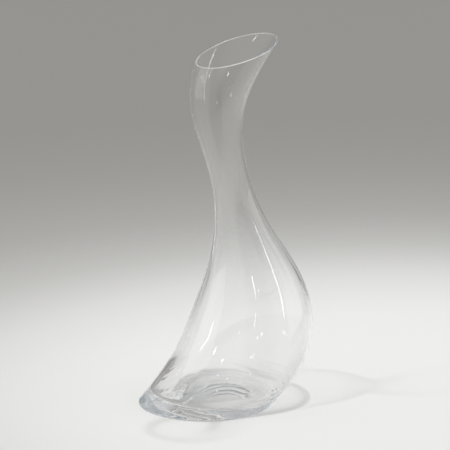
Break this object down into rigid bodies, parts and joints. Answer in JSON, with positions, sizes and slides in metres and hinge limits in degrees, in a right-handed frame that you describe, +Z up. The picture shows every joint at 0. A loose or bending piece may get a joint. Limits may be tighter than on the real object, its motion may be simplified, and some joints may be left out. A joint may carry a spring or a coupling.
{
  "type": "wine decanter",
  "caption": "Clear blown-glass wine decanter with a leaning teardrop bowl, thick round foot, curved neck and slanted, flared pouring mouth.",
  "frame": {"origin": "on the surface that the foot rests on, under the middle of the bounding box", "axes": "+Z up, +X towards the side that the bowl and the pouring lip lean to, +Y across; symmetric about the XZ plane"},
  "size_m": [0.1698, 0.1238, 0.3292],
  "materials": {
    "clear_glass": "clear, smooth and fire-polished, with faint vertical waves from blowing"
  },
  "bodies": {
    "root": {"base": "clear_glass", "bowl": "clear_glass", "shoulder": "clear_glass", "neck": "clear_glass", "throat": "clear_glass", "mouth": "clear_glass"}
  },
  "joints": []
}
